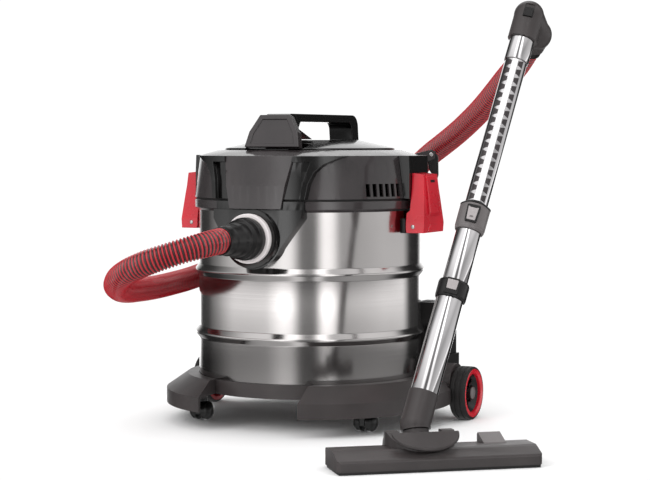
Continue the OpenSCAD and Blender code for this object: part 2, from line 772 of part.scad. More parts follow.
module upper_tube() {
    start = collar_end - tube_hold;
    run = sleeve_start - collar_end;
    pitch = run / 17;
    color("silver") on_wand(start) difference() {
        tube(sleeve_start + sleeve_l + 25 - start, tube_d, tube_wall);
        for (i = [0:16]) translate([tube_d / 2 - 0.5, -3, tube_hold + (i + 0.3) * pitch])
            cube([4, 6, pitch * 0.45]);
    }
    color("silver") on_wand(sleeve_start) ring(sleeve_l + 25, tube_d / 2 + 1.5, tube_d / 2);
}

module collar_lock() {
    color("#5c5859") on_wand(collar_start) difference() {
        union() {
            cylinder(h = collar_end - collar_start, r = tube_d / 2 + 5, $fn = round_fn);
            translate([tube_d / 2 - 1, -11, 4]) cube([12, 22, 32]);
        }
        translate([0, 0, -1]) cylinder(h = 60, r = tube_d / 2 + fit_gap, $fn = round_fn);
        translate([0, 0, -1]) cylinder(h = 9, r = middle_d / 2, $fn = round_fn);
        translate([tube_d / 2 + 5.2, -8, 8]) cube([20, 16, 24]);
    }
}

module collar_button() {
    color("#8c8889") on_wand(collar_start + 8) translate([tube_d / 2 + 5.7, -7.5, 0.5])
        cube([9, 15, 17]);
}

module middle_tube() {
    color("silver") on_wand(middle_start) tube(collar_start - middle_start + 8, middle_d, tube_wall);
}

module coupling() {
    color("#1e1c1d") on_wand(lower_end) difference() {
        union() {
            cylinder(h = middle_start - lower_end + 10, r = lower_d / 2 + 2, $fn = round_fn);
            translate([lower_d / 2 - 2, -9, 0]) cube([8, 18, 24]);
        }
        translate([0, 0, -1]) cylinder(h = 60, r = middle_d / 2 - tube_wall, $fn = round_fn);
        translate([0, 0, middle_start - lower_end])
            cylinder(h = 60, r = middle_d / 2, $fn = round_fn);
        translate([lower_d / 2 + 0.5, -6, 4]) cube([12, 12, 16]);
    }
}

module coupling_button() {
    color("#8c8889") on_wand(lower_end) translate([lower_d / 2 + 3.5, -5.5, 6.5])
        cube([5, 11, 11]);
}

module lower_tube() {
    color("silver") on_wand(neck_end) tube(lower_end - neck_end, lower_d, tube_wall);
}

// The grip: a sleeve over the tube, an elbow, and a round hub that the hose leaves
module at_elbow() {
    on_wand(sleeve_start + grip_up) rotate([0, 0, -wand_roll]) children();
}

module at_hub() {
    at_elbow() translate([hub_reach * sin(hub_bend), 0, hub_reach * cos(hub_bend)]) children();
}

module grip() {
    r = tube_d / 2 + 5;
    color("#3a3637") difference() {
        union() {
            on_wand(sleeve_start + sleeve_l) cylinder(h = grip_up - sleeve_l, r = r, $fn = small_fn);
            at_elbow() sphere(r = r + 0.6, $fn = small_fn);
            at_elbow() rotate([0, hub_bend, 0]) cylinder(h = hub_reach, r = r, $fn = small_fn);
            at_hub() sphere(r = r + 1.5, $fn = small_fn);
            at_hub() rotate(hose_leave) cylinder(h = hub_l, r = r, $fn = small_fn);
        }
        on_wand(sleeve_start) cylinder(h = grip_up, r = tube_d / 2 - 3, $fn = small_fn);
        on_wand(sleeve_start) cylinder(h = sleeve_l + 26, r = tube_d / 2 + 1.5, $fn = small_fn);
        at_elbow() sphere(r = tube_d / 2 - 2, $fn = small_fn);
        at_elbow() rotate([0, hub_bend, 0]) cylinder(h = hub_reach, r = tube_d / 2 - 3, $fn = small_fn);
        at_hub() sphere(r = tube_d / 2 - 1.5, $fn = small_fn);
        at_hub() rotate(hose_leave) cylinder(h = 40, r = hose_r_in + fit_gap, $fn = small_fn);
        on_wand(sleeve_start + sleeve_l + 28) translate([tube_d / 2 + 1, -7, 0]) cube([12, 14, 22]);
    }
}

module hose_end() {
    color("#1e1c1d") at_hub() rotate(hose_leave) difference() {
        union() {
            translate([0, 0, 8]) cylinder(h = hub_l - 7, r = hose_r_in, $fn = small_fn);
            translate([0, 0, hub_l + body_gap])
                cylinder(h = 10 - body_gap, r = tube_d / 2 + 4, $fn = small_fn);
        }
        translate([0, 0, -1]) cylinder(h = 60, r = tube_d / 2 - 3, $fn = small_fn);
    }
}

module bleed_slider() {
    color("#1e1c1d") on_wand(sleeve_start) translate([tube_d / 2 + 1.4, -6.5, sleeve_l + 28.5])
        cube([5.6, 13, 14]);
}

/* ---- Neck and nozzle ---- */

// The nozzle's own frame: its middle on the floor, long side along X
module at_nozzle() {
    at_drum() translate(wand_foot) rotate([0, 0, nozzle_turn])
        translate([nozzle_shift, -hinge_back - neck_run * sin(neck_tilt), -wand_foot[2]])
            children();
}

module at_hinge() {
    at_nozzle() translate([-nozzle_shift, hinge_back, hinge_z]) children();
}

module neck() {
    color("#3a3637") at_hinge() difference() {
        union() {
            bar_x(-knuckle_w / 2, knuckle_w / 2, knuckle_r);
            rotate([-neck_tilt, 0, 0]) cylinder(h = neck_run - 8, r = 17.5, $fn = small_fn);
            rotate([-neck_tilt, 0, 0])
                cylinder(h = neck_run - 1, r = neck_bore - fit_gap, $fn = small_fn);
        }
        bar_x(-60, 60, 5 + fit_gap);
        rotate([-neck_tilt, 0, 0]) translate([0, 0, 9])
            cylinder(h = neck_run, r = 11, $fn = small_fn);
    }
}

// The sleeve that turns the neck's lean into the wand's
module neck_sleeve() {
    r = lower_d / 2 + 1.2;
    color("#3a3637") at_drum() translate(wand_foot) difference() {
        union() {
            rotate([0, 0, nozzle_turn]) rotate([-neck_tilt, 0, 0]) translate([0, 0, -7.5])
                cylinder(h = 7.5, r = r, $fn = small_fn);
            sphere(r = r + 0.5, $fn = small_fn);
            rotate([0, wand_tilt, wand_turn]) cylinder(h = neck_end + 12, r = r, $fn = small_fn);
        }
        rotate([0, 0, nozzle_turn]) rotate([-neck_tilt, 0, 0]) translate([0, 0, -30])
            cylinder(h = 22.5, r = r + 5, $fn = small_fn);
        rotate([0, 0, nozzle_turn]) rotate([-neck_tilt, 0, 0]) translate([0, 0, -8])
            cylinder(h = 8, r = neck_bore, $fn = small_fn);
        sphere(r = neck_bore - 0.5, $fn = small_fn);
        rotate([0, wand_tilt, wand_turn]) cylinder(h = neck_end + 13, r = neck_bore - 1, $fn = small_fn);
        rotate([0, wand_tilt, wand_turn]) translate([0, 0, neck_end])
            cylinder(h = 13, r = lower_d / 2, $fn = small_fn);
    }
}

module nozzle_body() {
    w = nozzle_w / 2;
    d = nozzle_l / 2;
    color("#4d4848") at_nozzle() difference() {
        union() {
            intersection() {
                rotate([90, 0, 90]) translate([0, 0, -w]) linear_extrude(nozzle_w)
                    polygon([[-d, 4], [-d, 15], [-d + 3, 18], [-d + 22, nozzle_h - 2],
                        [-d + 28, nozzle_h], [d - 14, nozzle_h], [d, nozzle_h - 7], [d, 4]]);
                linear_extrude(60) polygon(concat(arc(w - 12, d - 12, 12, 0, 90, 6),
                    arc(-w + 12, d - 12, 12, 90, 180, 6), [[-w, -d + 4], [-w + 4, -d],
                    [w - 4, -d], [w, -d + 4]]));
            }
            intersection() {
                rotate([90, 0, 90]) translate([0, 0, -w]) linear_extrude(nozzle_w)
                    polygon([[-d + 16, nozzle_h - 3], [hinge_back - 14, nozzle_h + 18],
                        [hinge_back, nozzle_h + 18], [hinge_back, nozzle_h - 3]]);
                translate([-nozzle_shift, hinge_back - 7, 0])
                    cylinder(h = 60, r = 47, $fn = round_fn);
            }
            translate([-nozzle_shift, hinge_back, hinge_z]) for (k = [-1, 1])
                translate([k > 0 ? knuckle_w / 2 + 1 : -knuckle_w / 2 - 15, 0, 0])
                    bar_x(0, 14, 18);
        }
        translate([-nozzle_shift - knuckle_w / 2 - 1, hinge_back - knuckle_r - 1.5, -1])
            cube([knuckle_w + 2, 60, 60]);
        translate([-w + 14, -d + 10, -1]) cube([nozzle_w - 28, 20, 14]);
        translate([-nozzle_shift - 14, -d + 20, 5]) cube([28, nozzle_l, 13]);
        translate([w - 66, d - 34, nozzle_h - 12]) cube([32, 50, 20]);
        translate([w - 50, d - 30, nozzle_h - 4]) bar_x(-18, 18, 1.5 + fit_gap);
    }
    color("#4d4848") at_hinge() for (k = [-1, 1])
        translate([k > 0 ? knuckle_w / 2 - 9 : -knuckle_w / 2 - 1.5, 0, 0]) bar_x(0, 10.5, 5);
}

module nozzle_sole() {
    w = nozzle_w / 2 - 2;
    d = nozzle_l / 2 - 2;
    color("#2b292a") at_nozzle() difference() {
        linear_extrude(4) polygon(concat(arc(w - 10, d - 10, 10, 0, 90, 6),
            arc(-w + 10, d - 10, 10, 90, 180, 6), [[-w, -d], [w, -d]]));
        translate([-w + 12, -d + 8, -1]) cube([2 * w - 24, 20, 14]);
        translate([-nozzle_shift - knuckle_w / 2 - 1, hinge_back - knuckle_r - 1.5, -1])
            cube([knuckle_w + 2, 60, 60]);
    }
}

module pedal() {
    color("#77716f") at_nozzle() translate([nozzle_w / 2 - 50, nozzle_l / 2 - 30, nozzle_h - 4]) {
        rotate([90, 0, 90]) translate([0, 0, -15.5]) linear_extrude(31)
            polygon([[-2.5, -2.5], [28.5, -2.5], [28.5, 12], [25, 15], [-0.5, 5], [-2.5, 3]]);
        bar_x(-17.5, 17.5, 1.5);
    }
}

// Points of a smooth ring round the route at point i
function along(i) = unit(hose_route[min(i + 1, len(hose_route) - 1)] - hose_route[max(i - 1, 0)]);
function side_of(t) = unit(cross(t, abs(t[2]) < 0.9 ? [0, 0, 1] : [1, 0, 0]));
function hose_ring(i) = let (t = along(i), u = side_of(t), v = cross(t, u))
    [for (k = [0:hose_sides - 1]) hose_route[i] +
        hose_d / 2 * (u * cos(360 * k / hose_sides) + v * sin(360 * k / hose_sides))];

module hose() {
    rings = len(hose_route);
    color("#c01828") at_drum() polyhedron(
        points = [for (i = [0:rings - 1]) each hose_ring(i)],
        faces = concat([[for (k = [hose_sides - 1:-1:0]) k]],
            [for (i = [0:rings - 2], k = [0:hose_sides - 1]) let (n = (k + 1) % hose_sides)
                [i * hose_sides + k, i * hose_sides + n, (i + 1) * hose_sides + n,
                (i + 1) * hose_sides + k]],
            [[for (k = [0:hose_sides - 1]) (rings - 1) * hose_sides + k]]));
}

base();
axle();
drum();
collar();
apron();
inlet_ring();
inlet_elbow();
latch_brackets();
latch_pins();
tool_towers();
hose();
hose_cuff();
fork(-1);  // fork_left
fork(1);  // fork_right
caster_wheels(-1);  // caster_wheels_left
caster_wheels(1);  // caster_wheels_right
rear_wheel(-1);  // wheel_left
rear_wheel(1);  // wheel_right
rear_tyre(-1);  // tyre_left
rear_tyre(1);  // tyre_right
latch(-1);  // latch_left
latch(1);  // latch_right
head_shell();
top_plate();
motor_deck();
gasket();
window_panel();
front_frame();
handle();
handle_plate();
latch_towers();
cord_gland();
blower_port();
cord_hook();
power_switch();
motor_housing();
motor_stator();
bearings();
armature();
impeller();
filter_cage();
cartridge_filter();
filter_cap();
float();
head_screws();
grip();
hose_end();
bleed_slider();
upper_tube();
collar_lock();
collar_button();
middle_tube();
coupling();
coupling_button();
lower_tube();
neck_sleeve();
neck();
nozzle_body();
nozzle_sole();
pedal();
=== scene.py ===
"""Wet and dry shop vacuum: the looks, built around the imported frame."""

import json
from math import atan, atan2, cos, pi, radians, sin, tan

import bmesh
import bpy
from mathutils import Matrix, Vector

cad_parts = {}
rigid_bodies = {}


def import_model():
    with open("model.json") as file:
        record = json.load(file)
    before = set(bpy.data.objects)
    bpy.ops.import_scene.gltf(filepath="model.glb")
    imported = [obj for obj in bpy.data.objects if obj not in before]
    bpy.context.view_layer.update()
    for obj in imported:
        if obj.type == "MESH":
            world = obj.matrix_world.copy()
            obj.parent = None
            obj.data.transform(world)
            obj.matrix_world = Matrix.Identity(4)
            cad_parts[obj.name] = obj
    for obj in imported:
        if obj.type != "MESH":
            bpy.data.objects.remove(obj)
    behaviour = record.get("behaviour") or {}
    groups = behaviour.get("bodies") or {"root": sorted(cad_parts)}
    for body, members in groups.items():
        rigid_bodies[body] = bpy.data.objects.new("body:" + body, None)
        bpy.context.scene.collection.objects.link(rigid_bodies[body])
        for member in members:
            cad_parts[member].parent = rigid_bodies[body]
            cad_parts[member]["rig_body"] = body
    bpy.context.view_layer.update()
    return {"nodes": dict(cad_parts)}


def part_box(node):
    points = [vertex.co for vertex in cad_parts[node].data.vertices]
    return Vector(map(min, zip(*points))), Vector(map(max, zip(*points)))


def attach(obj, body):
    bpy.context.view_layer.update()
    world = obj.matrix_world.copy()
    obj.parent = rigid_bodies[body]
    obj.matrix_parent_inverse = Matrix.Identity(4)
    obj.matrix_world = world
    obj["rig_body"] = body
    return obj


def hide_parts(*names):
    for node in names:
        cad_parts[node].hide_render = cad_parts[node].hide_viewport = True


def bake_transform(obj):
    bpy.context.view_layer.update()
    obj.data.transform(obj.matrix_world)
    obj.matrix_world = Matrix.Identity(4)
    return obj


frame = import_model()

# ---- Camera ----
# A long lens a little under the height of the lid, turned to the machine's right-hand side.
# Everything is placed from the drum's axis; sizes are in millimetres until a mesh is made.
low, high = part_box("drum")
axis_x, axis_y = 500 * (low.x + high.x), 500 * (low.y + high.y)
view_turn = radians(26)
view_distance, view_height, view_aside = 2900, 427, 23
view_drop = atan(0.0529)


def row(x, y, z):
    """A point given from the drum's axis in millimetres, in the frame's metres."""
    return Vector((axis_x + x, axis_y + y, z)) / 1000


camera = bpy.data.objects.new("camera", bpy.data.cameras.new("camera"))
bpy.context.scene.collection.objects.link(camera)
camera.data.lens = 104.7
camera.location = row(
    view_distance * sin(view_turn) + view_aside * cos(view_turn),
    -view_distance * cos(view_turn) + view_aside * sin(view_turn), view_height)
camera.rotation_euler = (pi / 2 - view_drop, 0, view_turn)
bpy.context.scene.camera = camera

# ---- Hose ----
# Ribbed suction hose, blown from soft red PVC round a wire helix.
# It runs from the inlet cuff round the back of the drum and up to the grip.
hose_d, rib_pitch, rib_depth = 36.5, 5.2, 2.8
hose_route = [
    (0, -291, 285), (-4, -306, 283), (-20, -329, 277), (-48, -347, 267), (-84, -355, 254),
    (-120, -345, 239), (-149, -318, 224), (-170, -279, 213), (-186, -234, 206),
    (-198, -180, 203), (-206, -120, 202), (-210, -60, 204), (-212, 0, 208), (-209, 58, 216),
    (-195, 113, 228), (-165, 161, 243), (-122, 194, 258), (-76, 214, 274), (-26, 222, 298),
    (26, 219, 330), (76, 206, 371), (119, 186, 402), (152, 165, 420), (184, 142, 437),
    (215, 118, 455), (246, 93, 475), (275, 68, 496), (302, 45, 517), (326, 25, 535),
    (338, 15, 546), (349, 7, 558)]


def add(tree, kind, inputs=(), links=(), **settings):
    """One node in a tree, with its settings, its input values and its links."""
    node = tree.nodes.new(kind)
    for key, value in settings.items():
        setattr(node, key, value)
    for key, value in dict(inputs).items():
        node.inputs[key].default_value = value
    for key, socket in dict(links).items():
        tree.links.new(socket, node.inputs[key])
    return node


def rgb(code):
    """An sRGB hex colour as the linear colour that a socket takes."""
    parts = [int(code[i:i + 2], 16) / 255 for i in (1, 3, 5)]
    return [c / 12.92 if c <= 0.04045 else ((c + 0.055) / 1.055) ** 2.4 for c in parts] + [1]


def surface(name, rough, metallic=0.0, **sockets):
    """A material with its principled shader's constant sockets set."""
    material = bpy.data.materials.new(name)
    material.use_nodes = True
    shader = material.node_tree.nodes["Principled BSDF"]
    shader.inputs["Roughness"].default_value = rough
    shader.inputs["Metallic"].default_value = metallic
    for key, value in sockets.items():
        shader.inputs[key.replace("_", " ")].default_value = value
    return material, material.node_tree, shader


def mottle(tree, shader, light, dark, size_mm, contrast=0.35):
    """Base colour drifting between two near tones, over patches of a real size."""
    here = add(tree, "ShaderNodeTexCoord")
    noise = add(tree, "ShaderNodeTexNoise", {"Scale": 1000 / size_mm, "Detail": 4},
                {"Vector": here.outputs["Object"]})
    ramp = add(tree, "ShaderNodeValToRGB", (), {"Fac": noise.outputs["Fac"]})
    ramp.color_ramp.elements[0].position = 0.5 - contrast / 2
    ramp.color_ramp.elements[1].position = 0.5 + contrast / 2
    ramp.color_ramp.elements[0].color = rgb(dark)
    ramp.color_ramp.elements[1].color = rgb(light)
    tree.links.new(ramp.outputs["Color"], shader.inputs["Base Color"])
    return here


def grain(tree, shader, here, size_mm, height_mm, rough_low, rough_high):
    """Fine moulded grain: a bump of a real height, and roughness that follows it."""
    noise = add(tree, "ShaderNodeTexNoise", {"Scale": 1000 / size_mm, "Detail": 3},
                {"Vector": here.outputs["Object"]})
    bump = add(tree, "ShaderNodeBump", {"Strength": 0.6, "Distance": height_mm / 1000},
               {"Height": noise.outputs["Fac"]})
    tree.links.new(bump.outputs["Normal"], shader.inputs["Normal"])
    wear = add(tree, "ShaderNodeTexNoise", {"Scale": 25, "Detail": 5},
               {"Vector": here.outputs["Object"]})
    span = add(tree, "ShaderNodeMapRange", {"To Min": rough_low, "To Max": rough_high},
               {"Value": wear.outputs["Fac"]})
    tree.links.new(span.outputs["Result"], shader.inputs["Roughness"])


def plastic(name, light, dark, rough, grain_mm=0.9, height_mm=0.02, **sockets):
    """Injection-moulded plastic: two close tones, fine grain and slightly uneven gloss."""
    material, tree, shader = surface(name, rough, **sockets)
    here = mottle(tree, shader, light, dark, 60)
    grain(tree, shader, here, grain_mm, height_mm, rough * 0.8, rough * 1.2)
    return material


# Soft PVC, with painted shade: the base colour is nearly black-red in the valleys between the ribs
# and red on their crests.
hose_pvc, tree, shader = surface("soft_red_pvc_valleys_painted_dark", 0.28, IOR=1.53, Coat_Weight=0.3,
                                 Coat_Roughness=0.12)
valley_shade_mask = add(tree, "ShaderNodeAttribute", attribute_name="rib")
ramp = add(tree, "ShaderNodeValToRGB", (), {"Fac": valley_shade_mask.outputs["Fac"]})
ramp.color_ramp.elements[0].position = 0.3
ramp.color_ramp.elements[0].color = rgb("#1c0204")
ramp.color_ramp.elements[1].position = 0.82
ramp.color_ramp.elements[1].color = rgb("#ad1220")
tree.links.new(ramp.outputs["Color"], shader.inputs["Base Color"])


def grow(name, source, tree, sizes, material):
    """Runs a geometry tree on a source object and keeps the result as a plain mesh."""
    modifier = source.modifiers.new("grow", "NODES")
    modifier.node_group = tree
    for item in tree.interface.items_tree:
        if item.item_type == "SOCKET" and item.in_out == "INPUT" and item.name in sizes:
            modifier[item.identifier] = sizes[item.name]
        elif item.item_type == "SOCKET" and item.name == "Material":
            modifier[item.identifier] = material
    bpy.context.view_layer.update()
    ready = source.evaluated_get(bpy.context.evaluated_depsgraph_get())
    mesh = bpy.data.meshes.new_from_object(ready)
    mesh.name = name
    bpy.data.objects.remove(source)
    grown = bpy.data.objects.new(name, mesh)
    bpy.context.scene.collection.objects.link(grown)
    return grown


def new_tree(name, **sizes):
    """An empty geometry tree with a geometry input, a material input and named sizes."""
    tree = bpy.data.node_groups.new(name, "GeometryNodeTree")
    tree.interface.new_socket("Geometry", in_out="INPUT", socket_type="NodeSocketGeometry")
    tree.interface.new_socket("Geometry", in_out="OUTPUT", socket_type="NodeSocketGeometry")
    tree.interface.new_socket("Material", in_out="INPUT", socket_type="NodeSocketMaterial")
    for key, value in sizes.items():
        kind = "NodeSocketInt" if isinstance(value, int) else "NodeSocketFloat"
        tree.interface.new_socket(key, in_out="INPUT", socket_type=kind).default_value = value
    return tree, tree.nodes.new("NodeGroupInput")


def end_tree(tree, entry, geometry):
    """Closes a tree: instances made real and the material set."""
    real = add(tree, "GeometryNodeRealizeInstances", (), {"Geometry": geometry})
    painted = add(tree, "GeometryNodeSetMaterial", (),
                  {"Geometry": real.outputs[0], "Material": entry.outputs["Material"]})
    leave = tree.nodes.new("NodeGroupOutput")
    tree.links.new(painted.outputs[0], leave.inputs["Geometry"])
    return tree


hose_curve = bpy.data.curves.new("hose_line", "CURVE")
hose_curve.dimensions = "3D"
hose_curve.resolution_u = 16
line = hose_curve.splines.new("BEZIER")
inside_cuff = [(0, -279, 286)]
line.bezier_points.add(len(hose_route))
for knot, point in zip(line.bezier_points, inside_cuff + hose_route):
    knot.co = row(*point)
    knot.handle_left_type = knot.handle_right_type = "AUTO"
hose_line = bpy.data.objects.new("hose_line", hose_curve)
bpy.context.scene.collection.objects.link(hose_line)

tree, entry = new_tree("ribbed_tube", Radius=0.018, Pitch=0.0056, Depth=0.002)
step = add(tree, "ShaderNodeMath", {1: 6}, {0: entry.outputs["Pitch"]}, operation="DIVIDE")
even = add(tree, "GeometryNodeResampleCurve", (),
           {"Curve": entry.outputs["Geometry"], "Length": step.outputs[0]}, mode="LENGTH")
along = add(tree, "GeometryNodeSplineParameter")
turns = add(tree, "ShaderNodeMath", (),
            {0: along.outputs["Length"], 1: entry.outputs["Pitch"]}, operation="DIVIDE")
angle = add(tree, "ShaderNodeMath", {1: 2 * pi}, {0: turns.outputs[0]}, operation="MULTIPLY")
wave = add(tree, "ShaderNodeMath", (), {0: angle.outputs[0]}, operation="COSINE")
share = add(tree, "ShaderNodeMapRange", {"From Min": -1.0}, {"Value": wave.outputs[0]})
swell = add(tree, "ShaderNodeMath", {}, {0: share.outputs["Result"],
                                        1: entry.outputs["Depth"]}, operation="MULTIPLY")
valley = add(tree, "ShaderNodeMath", (), {0: entry.outputs["Radius"],
                                         1: entry.outputs["Depth"]}, operation="SUBTRACT")
radius = add(tree, "ShaderNodeMath", (), {0: valley.outputs[0], 1: swell.outputs[0]})
# The rib's place on its wave is stored for the hose material, which paints the valleys dark as
# painted shade.
marked = add(tree, "GeometryNodeStoreNamedAttribute", {"Name": "rib"},
             {"Geometry": even.outputs[0], "Value": share.outputs["Result"]},
             data_type="FLOAT", domain="POINT")
round_line = add(tree, "GeometryNodeCurvePrimitiveCircle", {"Resolution": 28, "Radius": 1.0})
skin = add(tree, "GeometryNodeCurveToMesh", {"Fill Caps": True},
           {"Curve": marked.outputs[0], "Profile Curve": round_line.outputs[0],
            "Scale": radius.outputs[0]})
smooth = add(tree, "GeometryNodeSetShadeSmooth", (), {"Geometry": skin.outputs[0]})
hose = grow("hose_ribbed", hose_line, end_tree(tree, entry, smooth.outputs[0]),
            {"Radius": hose_d / 2000, "Pitch": rib_pitch / 1000, "Depth": rib_depth / 1000},
            hose_pvc)
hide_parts("hose")
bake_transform(hose)

# ---- Drum ----
# Stainless sheet, rolled and seam-welded, with two beads pressed out to stiffen it.
# The bright rolled finish runs round the drum and stretches reflections upright.


def fillet(corners, radius, steps=4):
    """A closed outline with rounded corners; a corner may carry its own radius."""
    rounded = []
    for i, corner in enumerate(corners):
        here = Vector(corner[:2])
        a = Vector(corners[i - 1][:2]) - here
        b = Vector(corners[(i + 1) % len(corners)][:2]) - here
        size = corner[2] if len(corner) > 2 else radius
        turn = a.angle(b, pi)
        if size <= 0 or turn > pi - 0.03 or turn < 0.03:
            rounded.append(here)
            continue
        reach = min(size / tan(turn / 2), 0.48 * a.length, 0.48 * b.length)
        a.normalize()
        b.normalize()
        centre = here + (a + b).normalized() * reach / cos(turn / 2)
        one, two = here + a * reach - centre, here + b * reach - centre
        sweep = one.angle(two, 0.01)
        for k in range(steps + 1):
            t = k / steps
            rounded.append(centre + (one * sin((1 - t) * sweep) + two * sin(t * sweep))
                           / sin(sweep))
    return rounded


def spot(x=0, y=0, z=0, turn=None):
    """The matrix that takes a piece's own millimetres to its place in the frame."""
    turned = turn.to_4x4() if turn else Matrix.Identity(4)
    return Matrix.Translation(row(x, y, z)) @ turned @ Matrix.Scale(0.001, 4)


def put(name, bm, material, body=None, *nodes, smooth=35):
    """Turns a bmesh into a piece: normals out, shaded, coloured, riding and replacing."""
    bmesh.ops.remove_doubles(bm, verts=bm.verts, dist=1e-7)
    bmesh.ops.recalc_face_normals(bm, faces=bm.faces)
    mesh = bpy.data.meshes.new(name)
    bm.to_mesh(mesh)
    bm.free()
    for face in mesh.polygons:
        face.use_smooth = True
    mesh.set_sharp_from_angle(angle=radians(smooth))
    mesh.materials.append(material)
    made = bpy.data.objects.new(name, mesh)
    bpy.context.scene.collection.objects.link(made)
    if body:
        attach(made, body)
    if nodes:
        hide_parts(*nodes)
    return made


def lathe(outline, where, steps=96, bm=None, start=0, sweep=360):
    """A closed outline of (radius, height), turned round the height axis."""
    bm = bm or bmesh.new()
    full = sweep == 360
    count = steps if full else steps + 1
    rings = []
    for k in range(count):
        a = radians(start + sweep * k / steps)
        rings.append([bm.verts.new(where @ Vector((p[0] * cos(a), p[0] * sin(a), p[1])))
                      for p in outline])
    for k in range(steps):
        one, two = rings[k], rings[(k + 1) % count]
        for i in range(len(outline)):
            j = (i + 1) % len(outline)
            bm.faces.new((one[i], two[i], two[j], one[j]))
    if not full:
        bm.faces.new(rings[0][::-1])
        bm.faces.new(rings[-1])
    return bm


def soften(made, width, segments=3, angle=32):
    """Rounds every hard edge by a width in millimetres."""
    bevel = made.modifiers.new("soft_edges", "BEVEL")
    bevel.width = width / 1000
    bevel.segments = segments
    bevel.limit_method = "ANGLE"
    bevel.angle_limit = radians(angle)
    bevel.harden_normals = True
    bevel.use_clamp_overlap = True
    return made


stainless, tree, shader = surface("stainless_sheet_bright_rolled", 0.13, 1.0, Anisotropic=0.3)
here = mottle(tree, shader, "#adaaa9", "#a3a09f", 220)
stretch = add(tree, "ShaderNodeMapping", {"Scale": (3, 3, 900)},
              {"Vector": here.outputs["Object"]})
lines = add(tree, "ShaderNodeTexNoise", {"Scale": 1.0, "Detail": 4},
            {"Vector": stretch.outputs["Vector"]})
bump = add(tree, "ShaderNodeBump", {"Strength": 0.12, "Distance": 0.00004},
           {"Height": lines.outputs["Fac"]})
tree.links.new(bump.outputs["Normal"], shader.inputs["Normal"])
span = add(tree, "ShaderNodeMapRange", {"To Min": 0.09, "To Max": 0.2},
           {"Value": lines.outputs["Fac"]})
tree.links.new(span.outputs["Result"], shader.inputs["Roughness"])

drum_r, drum_low, drum_top, sheet = 170, 60, 325, 1.2
beads = [drum_low + 0.288 * 265, drum_low + 0.646 * 265]


def drum_outline(offset):
    """The drum's side from bottom to top, moved in by the sheet's thickness."""
    side = [(drum_r - offset, drum_low + offset, 6)]
    for z in beads:
        side += [(drum_r - offset, z - 9, 3), (drum_r + 5.4 - offset, z - 1.5, 2.4),
                 (drum_r + 5.4 - offset, z + 1.5, 2.4), (drum_r - offset, z + 9, 3)]
    return side + [(drum_r - offset, drum_top, 0)]


outline = [(0, drum_low, 0)] + drum_outline(0) + drum_outline(sheet)[::-1] \
    + [(0, drum_low + sheet, 0)]
drum = put("drum_sheet", lathe(fillet(outline, 0), spot(), 160), stainless, "chassis",
           "drum", smooth=50)

# ---- Base ----
# One satin moulding: a skirt with a sloped shoulder, a notch at the front and two axle boxes.


def eased(node, material, width, smooth=32, name=None):
    """A copy of a frame node with merged faces and rounded edges, in a finished material."""
    source = frame["nodes"][node]
    bm = bmesh.new()
    bm.from_mesh(source.data)
    bmesh.ops.remove_doubles(bm, verts=bm.verts, dist=2e-6)
    bmesh.ops.dissolve_limit(bm, angle_limit=radians(0.6), verts=bm.verts, edges=bm.edges)
    made = put(name or node + "_moulding", bm, material, source["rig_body"], node,
               smooth=smooth)
    return soften(made, width) if width else made


# Moulded in a fine spark-eroded tool: the grain breaks its highlights into a satin sheen.
satin_abs = plastic("satin_grey_abs_moulded", "#3d3838", "#353131", 0.4, 0.7, 0.03,
                    Specular_IOR_Level=0.35)
eased("base", satin_abs, 1.6)

# Turned and polished bar: the fine lathe lines blur what it mirrors.
steel, tree, shader = surface("bright_steel_turned", 0.25, 1.0)
here = mottle(tree, shader, "#c9c7c6", "#b5b2b1", 30)
grain(tree, shader, here, 0.4, 0.002, 0.2, 0.3)
eased("axle", steel, 0.5)

# ---- Casters ----
# Twin-wheel furniture casters: a nylon fork turns on a stem pressed into the base, and a
# pair of hard nylon wheels turns on one pin.
# Nylon shows a faint grain and a wide, dull highlight.
black_nylon = plastic("black_nylon_moulded", "#121011", "#0d0c0c", 0.32, 0.8, 0.02,
                      Specular_IOR_Level=0.35)
for side in ("left", "right"):
    eased("fork_" + side, black_nylon, 0.6)
    eased("caster_wheels_" + side, black_nylon, 0.8)

# ---- Wheels ----
# A rubber tyre pressed on a red rim, with a dished black centre of six spokes and a grey cap
# over the axle's end.


def slab(outline, near, far, where, bm=None):
    """A flat outline in Y and Z, made solid between two places along X."""
    bm = bm or bmesh.new()
    one = [bm.verts.new(where @ Vector((near, *p))) for p in outline]
    two = [bm.verts.new(where @ Vector((far, *p))) for p in outline]
    count = len(outline)
    bm.faces.new(one[::-1])
    bm.faces.new(two)
    for i in range(count):
        j = (i + 1) % count
        bm.faces.new((one[i], one[j], two[j], two[i]))
    return bm


def rolled(x, y, z, side=1):
    """A place whose height axis points outwards, along X, for wheels."""
    return spot(x, y, z, Matrix.Rotation(radians(90 * side), 3, "Y"))


# Soft moulded rubber is dull, with a fine dusty grain.
rubber = plastic("black_rubber_moulded", "#1d1b1b", "#161414", 0.6, 0.6, 0.05,
                 Specular_IOR_Level=0.3)
# Polished moulds give this ABS a clear gloss over a strong, even red.
red_abs = plastic("bright_red_abs_moulded", "#cf1028", "#b90c22", 0.28, 1.2, 0.01,
                  Coat_Weight=0.4, Coat_Roughness=0.12)
mid_grey = plastic("mid_grey_abs_moulded", "#696464", "#5d5858", 0.35, 0.8, 0.015)

